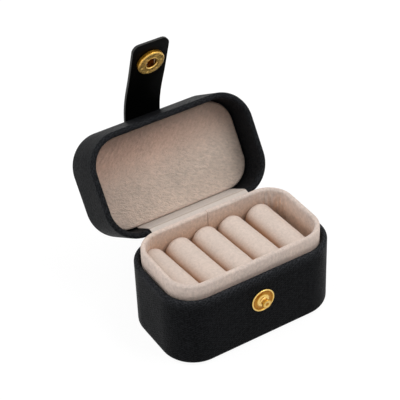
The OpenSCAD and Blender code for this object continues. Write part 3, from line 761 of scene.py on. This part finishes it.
face_towards(bm, (0, 0, PAD_TOP), (0, 0, 1))
# Painted shade across the upper part of the open pad, under the lid's front wall, stronger towards the left.
mark(bm, "painted_shade", lambda co: 0.9 * exp(-(((-co.y / PAD_DEP - 0.34) / 0.3) ** 2)) - 0.45 * co.x / PAD_LEN)
bmesh.ops.solidify(bm, geom=bm.faces[:], thickness=PAD_SUEDE)
bmesh.ops.transform(bm, matrix=IN_LID, verts=bm.verts)
pad = make_piece("pad_suede", bm, [pad_finish], "lid", ["pad_lining"], 60)

# %% [markdown]
# ## Leather and suede that bend
# The strap, the leather spine behind the hinge and the suede strip inside it are all cut flat and then bent. So they
# are drawn flat: a rectangle with its corners rounded, given thickness, with its edges softened. Then it is cut
# across into narrow bands, as a sheet must be before it can bend, and each band is laid along a path.

# %% Helpers for cut sheets


def cut_sheet(width, length, thick, corner, soft, bands, middle=0.0):
    """A flat cut sheet: X across, Y along from zero, Z thick. The face index 1 marks its cut edge."""
    bm = bmesh.new()
    bmesh.ops.create_grid(bm, x_segments=1, y_segments=1, size=0.5)
    bmesh.ops.scale(bm, vec=(width, length, 1), verts=bm.verts)
    bmesh.ops.translate(bm, vec=(middle, length / 2, 0), verts=bm.verts)
    if corner:
        bmesh.ops.bevel(
            bm, geom=bm.verts[:], offset=corner, offset_type="OFFSET", segments=7, profile=0.5, affect="VERTICES",
            material=-1,
        )
    flat = bm.faces[:]
    grown = bmesh.ops.extrude_face_region(bm, geom=flat)["geom"]
    bmesh.ops.translate(bm, vec=(0, 0, thick), verts=[v for v in grown if isinstance(v, bmesh.types.BMVert)])
    bmesh.ops.recalc_face_normals(bm, faces=bm.faces)
    rims = [e for e in bm.edges if abs(e.verts[0].co.z - e.verts[1].co.z) < 1e-6]
    bmesh.ops.bevel(bm, geom=rims, offset=soft, segments=2, profile=0.5, affect="EDGES", material=-1)
    for face in bm.faces:
        face.material_index = 0 if abs(face.normal.z) > 0.9 else 1
    for place in bands:
        everything = bm.verts[:] + bm.edges[:] + bm.faces[:]
        bmesh.ops.bisect_plane(bm, geom=everything, plane_co=(0, place, 0), plane_no=(0, 1, 0), dist=1e-5)
    lay = bm.loops.layers.uv.new("lay")
    for face in bm.faces:
        for loop in face.loops:
            loop[lay].uv = loop.vert.co.xy
    return bm


def path_lengths(path):
    total = [0.0]
    for a, b in zip(path, path[1:]):
        total.append(total[-1] + hypot(b[0] - a[0], b[1] - a[1]))
    return total


def bend_along(bm, path, side):
    """Lays a flat sheet along a path in Y and Z, with its thickness on the given side."""
    total = path_lengths(path)
    ways = [Vector((b[0] - a[0], b[1] - a[1])).normalized() for a, b in zip(path, path[1:])]
    corners = [ways[0]] + [(a + b).normalized() for a, b in zip(ways, ways[1:])] + [ways[-1]]
    for vert in bm.verts:
        along = min(max(vert.co.y, 0.0), total[-1])
        i = max(k for k in range(len(ways)) if total[k] <= along)
        t = (along - total[i]) / (total[i + 1] - total[i])
        way = corners[i].lerp(corners[i + 1], t).normalized()
        y = path[i][0] + (path[i + 1][0] - path[i][0]) * t - side * way.y * vert.co.z
        z = path[i][1] + (path[i + 1][1] - path[i][1]) * t + side * way.x * vert.co.z
        vert.co.y, vert.co.z = y, z
    bmesh.ops.recalc_face_normals(bm, faces=bm.faces)


print("cut sheets can be bent along a path")

# %% [markdown]
# ## The strap
# The strap is two plies of smooth leather with a painted edge. One end is glued flat on the lid's top, then it turns
# over the front edge and runs down to the snap. Standing open, it keeps some of that bend. Its path is drawn on its
# inner side, and the hole for the snap is punched while the strap is still flat, as on a real bench.

# %% The strap's path
BEND_R = EDGE_R + GLUE_GAP
SEAT_START, SEAT_END, STRAP_END = REACH - SOCKET_D / 2 - 0.3, REACH + SOCKET_D / 2 + 0.3, REACH + 12.4
STRAP_W, ANCHOR_LEN, TIP_R, TIP_FLARE, SNAP_HOLE_R = 21.0, 22.0, 4.0, 0.9, 3.55


def seat_line(along):
    return SEAT_OUT + (along - REACH) * tan(radians(SEAT_LEAN))


def hanging_strap():
    """The strap's inner side, shut, as (down from its pivot, out from the wall)."""
    start, out = -BEND_R * sin(radians(ROOT_LEAN)), BEND_R * cos(radians(ROOT_LEAN))
    run, points = SEAT_START - start, []
    for k in range(1, 41):
        t = k / 40
        stands = (2 * t**3 - 3 * t**2 + 1) * out + (t**3 - 2 * t**2 + t) * run * tan(radians(ROOT_LEAN))
        reaches = (3 * t**2 - 2 * t**3) * seat_line(SEAT_START) + (t**3 - t**2) * run * tan(radians(SEAT_LEAN))
        points.append((start + run * t, stands + reaches))
    for k in range(1, 16):
        along = SEAT_START + (STRAP_END - SEAT_START) * k / 15
        flare = TIP_FLARE * max(0, (along - SEAT_END) / (STRAP_END - SEAT_END)) ** 2
        points.append((along, seat_line(along) + flare))
    return points


lid_side = [(PIVOT_Y + ANCHOR_LEN, LID_TOP_Z + GLUE_GAP)]
lid_side += round_arc((PIVOT_Y, PIVOT_Z), BEND_R, 90, 180 - ROOT_LEAN - STRAP_OPEN, 10)
strap_path = [(OPEN_LID @ Vector((0, y, z))).yz for y, z in lid_side]
strap_path += [(OPEN_STRAP @ Vector((0, -out, -along))).yz for along, out in hanging_strap()]
strap_total = path_lengths(strap_path)
seat_place = (OPEN_STRAP @ Vector((0, -SEAT_OUT, -REACH))).yz
nearest = min(range(len(strap_path)), key=lambda i: (Vector(strap_path[i]) - seat_place).length)
step = Vector(strap_path[nearest + 1]) - Vector(strap_path[nearest])
snap_along = strap_total[nearest] + (seat_place - Vector(strap_path[nearest])).dot(step.normalized())
print("strap is", round(strap_total[-1], 1), "mm long, with its snap at", round(snap_along, 1), "mm")

# %% Strap


def punch(bm, along, radius, deep):
    """Punches a round hole through a flat sheet and returns the new drawing."""
    sheet, tool = bpy.data.meshes.new("sheet"), bpy.data.meshes.new("punch")
    bm.to_mesh(sheet)
    bm.free()
    cutter = bmesh.new()
    bmesh.ops.create_cone(
        cutter, cap_ends=True, segments=48, radius1=radius, radius2=radius, depth=4 * deep,
        matrix=Matrix.Translation((0, along, deep / 2)),
    )
    cutter.to_mesh(tool)
    cutter.free()
    things = [bpy.data.objects.new(mesh.name, mesh) for mesh in (sheet, tool)]
    for thing in things:
        bpy.context.scene.collection.objects.link(thing)
    hole = things[0].modifiers.new("hole", "BOOLEAN")
    hole.object, hole.solver = things[1], "EXACT"
    bpy.context.view_layer.update()
    result = bmesh.new()
    result.from_mesh(things[0].evaluated_get(bpy.context.evaluated_depsgraph_get()).to_mesh())
    for thing in things:
        bpy.data.objects.remove(thing)
    return result


bands = [ANCHOR_LEN * k / 6 for k in range(1, 6)] + strap_total[1:-1]
bm = cut_sheet(STRAP_W, strap_total[-1], STRAP_T, TIP_R, 0.18, bands)
bm = punch(bm, snap_along, SNAP_HOLE_R, STRAP_T)
bend_along(bm, strap_path, -1)
strap = make_piece(
    "strap_leather", bm, [smooth_leather, edge_paint],
    stands_for=["strap_anchor", "strap_face", "strap_lining", "strap_bend"], sharp=30,
)
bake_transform(strap)

# %% [markdown]
# ## The soft hinge
# The lid has no metal hinge. A leather spine is glued behind both walls, and a suede strip covers both rims inside.
# Both are bands that run up the base, over the hinge line and down the lid. The strip is what stops the lid: when it
# is pulled tight, the lid stands open at its widest. It shows a crease where it turns down into the lid.

# %% Spine and strip
HINGE_W, HINGE_OUT = BOX_LEN - 2 * CORNER_R - 1.0, HINGE_Y - BOX_DEP / 2
SPINE_OUT, SPINE_T, SPINE_R, SPINE_TAIL = 1.6, 0.8, 0.8, 11.0
LID_DOWN = (sin(radians(OPEN_ANGLE)), cos(radians(OPEN_ANGLE)))
side = SPINE_OUT + GLUE_GAP / 2 - HINGE_OUT
fold_c = (HINGE_Y + side, HINGE_Z - side * tan(radians(OPEN_ANGLE / 2)))
spine_path = [(fold_c[0] - SPINE_R, fold_c[1] - SPINE_TAIL)] + round_arc(fold_c, SPINE_R, 180, LID_LEAN, 24)
spine_path.append(tuple(Vector(spine_path[-1]) + Vector(LID_DOWN) * SPINE_TAIL))
total = path_lengths(spine_path)
bm = cut_sheet(HINGE_W, total[-1], SPINE_T, 1.5, 0.15, total[1:-1])
bend_along(bm, spine_path, 1)
print("spine is cut", round(HINGE_W, 1), "x", round(total[-1], 1), "mm")
spine = make_piece("spine_leather", bm, [leather, smooth_leather], stands_for=["hinge_spine"])
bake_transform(spine)

# %% Strip
STRIP_T, STRIP_EASE_R, STRIP_TAIL, STRIP_UNDER_PAD, STRIP_ASIDE = 0.4, 1.8, 6.0, 2.8, 1.4
base_c = (BOX_DEP / 2 - RIM_R, BASE_H - RIM_R)
lid_c = tuple((OPEN_LID @ Vector((0, BOX_DEP / 2 - RIM_R, LID_RIM_Z + RIM_R))).yz)
slope = atan2(lid_c[1] - base_c[1], lid_c[0] - base_c[0]) * 180 / pi
rest_r = RIM_R + GLUE_GAP
over = [Vector((cos(radians(a)), sin(radians(a)))) for a in (90 + slope, LID_LEAN)]
ways = [Vector((cos(radians(slope)), sin(radians(slope)))), Vector(LID_DOWN)]
spots = [Vector(base_c) + over[0] * rest_r, Vector(lid_c) + over[1] * rest_r]
gone = (spots[1] - spots[0]).cross(ways[1]) / ways[0].cross(ways[1])
knee = spots[0] + ways[0] * gone
ease_c = knee - ways[0] * STRIP_EASE_R * tan(radians(90 + slope - LID_LEAN) / 2) - over[0] * STRIP_EASE_R
strip_path = [(base_c[0] - rest_r, base_c[1] - STRIP_TAIL + RIM_R)] + round_arc(base_c, rest_r, 180, 90 + slope, 12)
strip_path += round_arc(ease_c, STRIP_EASE_R, 90 + slope, LID_LEAN, 12)
strip_path.append(tuple(spots[1] + ways[1] * (PAD_DEPTH - RIM_R + STRIP_UNDER_PAD)))
total = path_lengths(strip_path)
extra = [total[-2] + (total[-1] - total[-2]) * k / 6 for k in range(1, 6)]
crease = total[len(strip_path) - 8]
print("strip is cut", round(HINGE_W, 1), "x", round(total[-1], 1), "mm, with its crease at", round(crease, 1), "mm")
bm = cut_sheet(HINGE_W, total[-1], STRIP_T, 3.0, 0.1, total[1:-1] + extra, middle=STRIP_ASIDE)
# Painted shade in a narrow line along the crease.
mark(bm, "painted_shade", lambda co: 1 - abs(co.y - crease) / 0.5)
for vert in bm.verts:
    vert.co.z -= 0.12 * max(1 - abs(vert.co.y - crease) / 0.3, 0)
bend_along(bm, strip_path, 1)
strip = make_piece("strip_suede", bm, [strip_finish, strip_finish], stands_for=["hinge_strip"])
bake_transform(strip)

# %% [markdown]
# ## The snap
# A snap is made of small pressed parts. The stud on the wall has a rolled rim, a ring of fine beads, a step and a
# knob with a dimple where it was riveted. The socket on the strap is a deeper flanged ring, with notches pressed round
# it and two spring wires across its hole, and a domed cap closes it outside. All of them are turned shapes, so each
# outline is drawn once and spun; the beads and notches are put in afterwards. An attribute at the vertices says where
# the gold is pale, from rubbing and from painted highlights, and where it is deep brown, from patina and painted
# shade.

# %% Turned metal


def turn_outline(outline, steps=72):
    return spin_round([(r, 0, z) for r, z in outline], (0, 0, 1), steps)


def by_radius(out, stops):
    """Reads a value between stops, each (distance from the axis, value)."""
    for (r0, v0), (r1, v1) in zip(stops, stops[1:]):
        if out <= r1:
            return v0 + (v1 - v0) * max(out - r0, 0) / (r1 - r0)
    return stops[-1][1]


STUD_R, KNOB_R, BEADS, BEAD_OUT = 6.5, 2.6, 40, 5.05
stud_outline = (
    [(0, 0), (5.9, 0)]
    + round_arc((STUD_R - 0.42, 0.42), 0.42, -90, 150, 10)
    + [(5.5, 0.42), (5.2, 0.38), (4.6, 0.38), (4.1, 0.42), (3.7, 0.52), (3.4, 0.68), (3.15, 0.86)]
    + [(2.95, 1.0), (2.75, 1.1), (2.4, 1.17), (2.15, 1.24), (2.0, 1.4), (1.9, 1.7), (1.9, 2.9)]
    + round_arc((KNOB_R - 0.62, 3.58), 0.62, -70, 80, 10)
    + [(1.6, 4.2), (1.2, 4.16), (0.95, 4.05), (0.7, 3.88), (0.35, 3.78), (0, 3.76)]
)
bm = turn_outline(stud_outline)
for k in range(BEADS):
    angle = 2 * pi * k / BEADS
    bead = Matrix.Translation((BEAD_OUT * cos(angle), BEAD_OUT * sin(angle), 0.36))
    bmesh.ops.create_icosphere(bm, subdivisions=2, radius=0.26, matrix=bead)
# Pale and brown bands by distance from the axis: partly rubbed metal and patina, partly painted highlights and painted
# shade.
flat_light_wear = [(0, 0.1), (2.0, 0.05), (2.4, 0.3), (2.8, 0.6), (3.3, 0.55), (3.8, 0.25), (4.4, 0.4), (4.7, 0.3)]
flat_light_wear += [(5.6, 0.25), (5.9, 0.6), (6.2, 0.95)]
knob_light_wear = [(0, 0.3), (0.7, 0.35), (1.1, 0.85), (1.8, 0.95), (2.4, 0.45)]


def stud_light_wear(co):
    out = co.xy.length
    # Raised parts of the flat get more painted highlight.
    return by_radius(out, knob_light_wear) if co.z > 1.8 else by_radius(out, flat_light_wear) + 1.2 * max(co.z - 0.45, 0)


mark(bm, "painted_light_and_wear", stud_light_wear)
bmesh.ops.transform(bm, matrix=ON_FRONT, verts=bm.verts)
make_piece("stud_gold", bm, [gold], "base", ["snap_stud"], 35)

# %% Socket
SOCKET_R, BORE_R, METAL_T = SOCKET_D / 2, 3.0, 0.45
TUBE_R, ROOM_R, NOTCHES, NOTCH_OUT, NOTCH_R = BORE_R + METAL_T, SOCKET_R - 1.7, 6, 5.6, 0.75
socket_outline = (
    [(SOCKET_R - 0.3, 0.0)]
    + [(SOCKET_R, 0.3), (SOCKET_R, 1.2)]
    + round_arc((SOCKET_R - 0.7, SOCKET_H - 0.7), 0.7, 0, 95, 8)
    + [(6.4, 2.39), (6.1, 2.36), (5.8, 2.33), (5.5, 2.3), (5.2, 2.28), (4.9, 2.26), (4.6, 2.25), (4.3, 2.25)]
    + [(4.05, 2.27)]
    + round_arc((3.62, 2.05), 0.32, 60, 180, 6)
    + [(3.16, 1.97)]
    + [(BORE_R, SOCKET_H - METAL_T), (ROOM_R, SOCKET_H - METAL_T), (ROOM_R, METAL_T), (BORE_R, METAL_T)]
    + [(BORE_R, -STRAP_T - METAL_T), (TUBE_R, -STRAP_T - METAL_T), (TUBE_R, 0.0)]
)
bm = turn_outline(socket_outline + socket_outline[:1], 96)
for vert in bm.verts:
    if vert.co.z > 1.99:
        out = vert.co.xy.length
        vert.co.z += noise.noise(vert.co * 0.45) * 0.05 * min(max(out - 4, 0), 1)
        for k in range(NOTCHES):
            angle = radians(10) + 2 * pi * k / NOTCHES
            miss = (vert.co.xy - Vector((cos(angle), sin(angle))) * NOTCH_OUT).length
            if miss < NOTCH_R and 4.3 < out < 6.6:
                vert.co.z -= 0.26 * (0.5 + 0.5 * cos(pi * miss / NOTCH_R))
# Pale and dark bands across the socket's face: partly rubbed metal, partly painted highlight and painted shade.
face_light_wear = [(3.0, 0.5), (3.3, 0.95), (3.7, 0.95), (4.1, 0.75), (4.6, 0.9), (5.8, 1), (6.4, 0.85), (6.9, 1)]
face_light_wear += [(7.3, 0.7)]


def socket_light_wear(co):
    out = co.xy.length
    if co.z > 1.9:
        return by_radius(out, face_light_wear)
    # Below the face: painted shade, deepest in the bore.
    return 0.25 if out < 5.9 else 0.45


mark(bm, "painted_light_and_wear", socket_light_wear)
bmesh.ops.transform(bm, matrix=AT_SEAT, verts=bm.verts)
make_piece("socket_gold", bm, [gold], "strap", ["snap_socket"], 35)

# %% Cap
CAP_H = 2.2
dome_r = (SOCKET_R**2 + CAP_H**2) / (2 * CAP_H)
span = atan2(SOCKET_R - 0.25, dome_r - CAP_H) * 180 / pi
cap_outline = (
    round_arc((0, CAP_H - dome_r), dome_r, 90, 90 - span, 14)
    + round_arc((SOCKET_R - 0.3, 0.25), 0.25, 45, -90, 6)
    + [(TUBE_R + 0.15, 0.0), (TUBE_R + 0.15, 0.4), (0, 0.4)]
)
bm = turn_outline(cap_outline, 96)
# The plate seen through the hole gets painted shade.
mark(bm, "painted_light_and_wear", lambda co: 0.3 if co.z < 0.45 and co.xy.length < TUBE_R + 0.3 else 0.8)
bmesh.ops.transform(bm, matrix=AT_SEAT @ shift(0, 0, -STRAP_T) @ Matrix.Scale(-1, 4, (0, 0, 1)), verts=bm.verts)
make_piece("cap_gold", bm, [gold], "strap", ["snap_cap"], 35)

# %% [markdown]
# ## Table and light
# The photograph shows the box on white. The table is a large pale plane that looks white to the camera and in
# reflections, but still takes the box's faint shadow close by. Light comes from a ring of large soft lamps, the
# strongest at the front right and high behind on the left, and from a dim pale sky, at a level where a colour renders
# about as it is written.

# %% Table


def seen_directly(tree):
    """One for rays from the camera and for those that glossy or clear things send on, else zero."""
    path = add_node(tree, "ShaderNodeLightPath").outputs
    plain = two_way(tree, "MAXIMUM", path["Is Camera Ray"], path["Is Transmission Ray"])
    return two_way(tree, "MAXIMUM", plain, path["Is Glossy Ray"])


bm = bmesh.new()
bmesh.ops.create_grid(bm, x_segments=1, y_segments=1, size=3.0)
table_mesh = bpy.data.meshes.new("table")
bm.to_mesh(table_mesh)
bm.free()
table = bpy.data.objects.new("table", table_mesh)
bpy.context.scene.collection.objects.link(table)
table.location = (0, 0, -0.0002)  # a hair below the felt, so the two faces don't flicker
white = bpy.data.materials.new("table_white")
white.use_nodes = True
tree = white.node_tree
tree.nodes.clear()
dull = add_node(tree, "ShaderNodeBsdfDiffuse", Color=(0.9, 0.9, 0.9, 1))
glow = add_node(tree, "ShaderNodeEmission", Color=(1, 1, 1, 1), Strength=1.06)
far = add_node(tree, "ShaderNodeVectorMath", {"operation": "LENGTH"})
tree.links.new(place_of(tree), far.inputs[0])
whiter = spread(tree, far.outputs["Value"], 0.25, 0.8, 0.86, 1.0)
mixed = add_node(tree, "ShaderNodeMixShader", Fac=two_way(tree, "MULTIPLY", seen_directly(tree), whiter))
tree.links.new(dull.outputs[0], mixed.inputs[1])
tree.links.new(glow.outputs[0], mixed.inputs[2])
add_node(tree, "ShaderNodeOutputMaterial", Surface=mixed.outputs[0])
table_mesh.materials.append(white)
print("table is ready")

# %% Light


def soft_lamp(name, place, power):
    lamp = bpy.data.lights.new(name, "AREA")
    lamp.shape, lamp.size, lamp.energy = "SQUARE", LAMP_SIZE, power
    thing = bpy.data.objects.new(name, lamp)
    bpy.context.scene.collection.objects.link(thing)
    thing.location = place
    thing.rotation_euler = (Vector((0, 0.02, 0.05)) - place).to_track_quat("-Z", "Y").to_euler()


LAMP_OUT, LAMP_SIZE = 1.5, 0.9
for name, around, height, power in (
    ("front_right", 45, 50, 10.3), ("back_left", -135, 50, 6.6), ("left", -90, 22, 6.2), ("top_right", 90, 60, 4.8),
    ("top_left", -90, 60, 2.4), ("back_right", 135, 50, 2.3), ("right", 90, 22, 2.2), ("front", -20, 35, 2.3),
):
    a, e = radians(around), radians(height)
    soft_lamp(name, Vector((sin(a) * cos(e), -cos(a) * cos(e), sin(e))) * LAMP_OUT + Vector((0, 0, 0.05)), power)
world = bpy.data.worlds.new("world")
bpy.context.scene.world = world
world.use_nodes = True
tree = world.node_tree
tree.nodes.clear()
glimpse = spread(tree, seen_directly(tree), 0, 1, 0.08, 1.0)
sky = add_node(tree, "ShaderNodeBackground", Color=(1, 1, 1, 1), Strength=glimpse)
add_node(tree, "ShaderNodeOutputWorld", Surface=sky.outputs[0])
bpy.context.scene.view_settings.view_transform = "Standard"
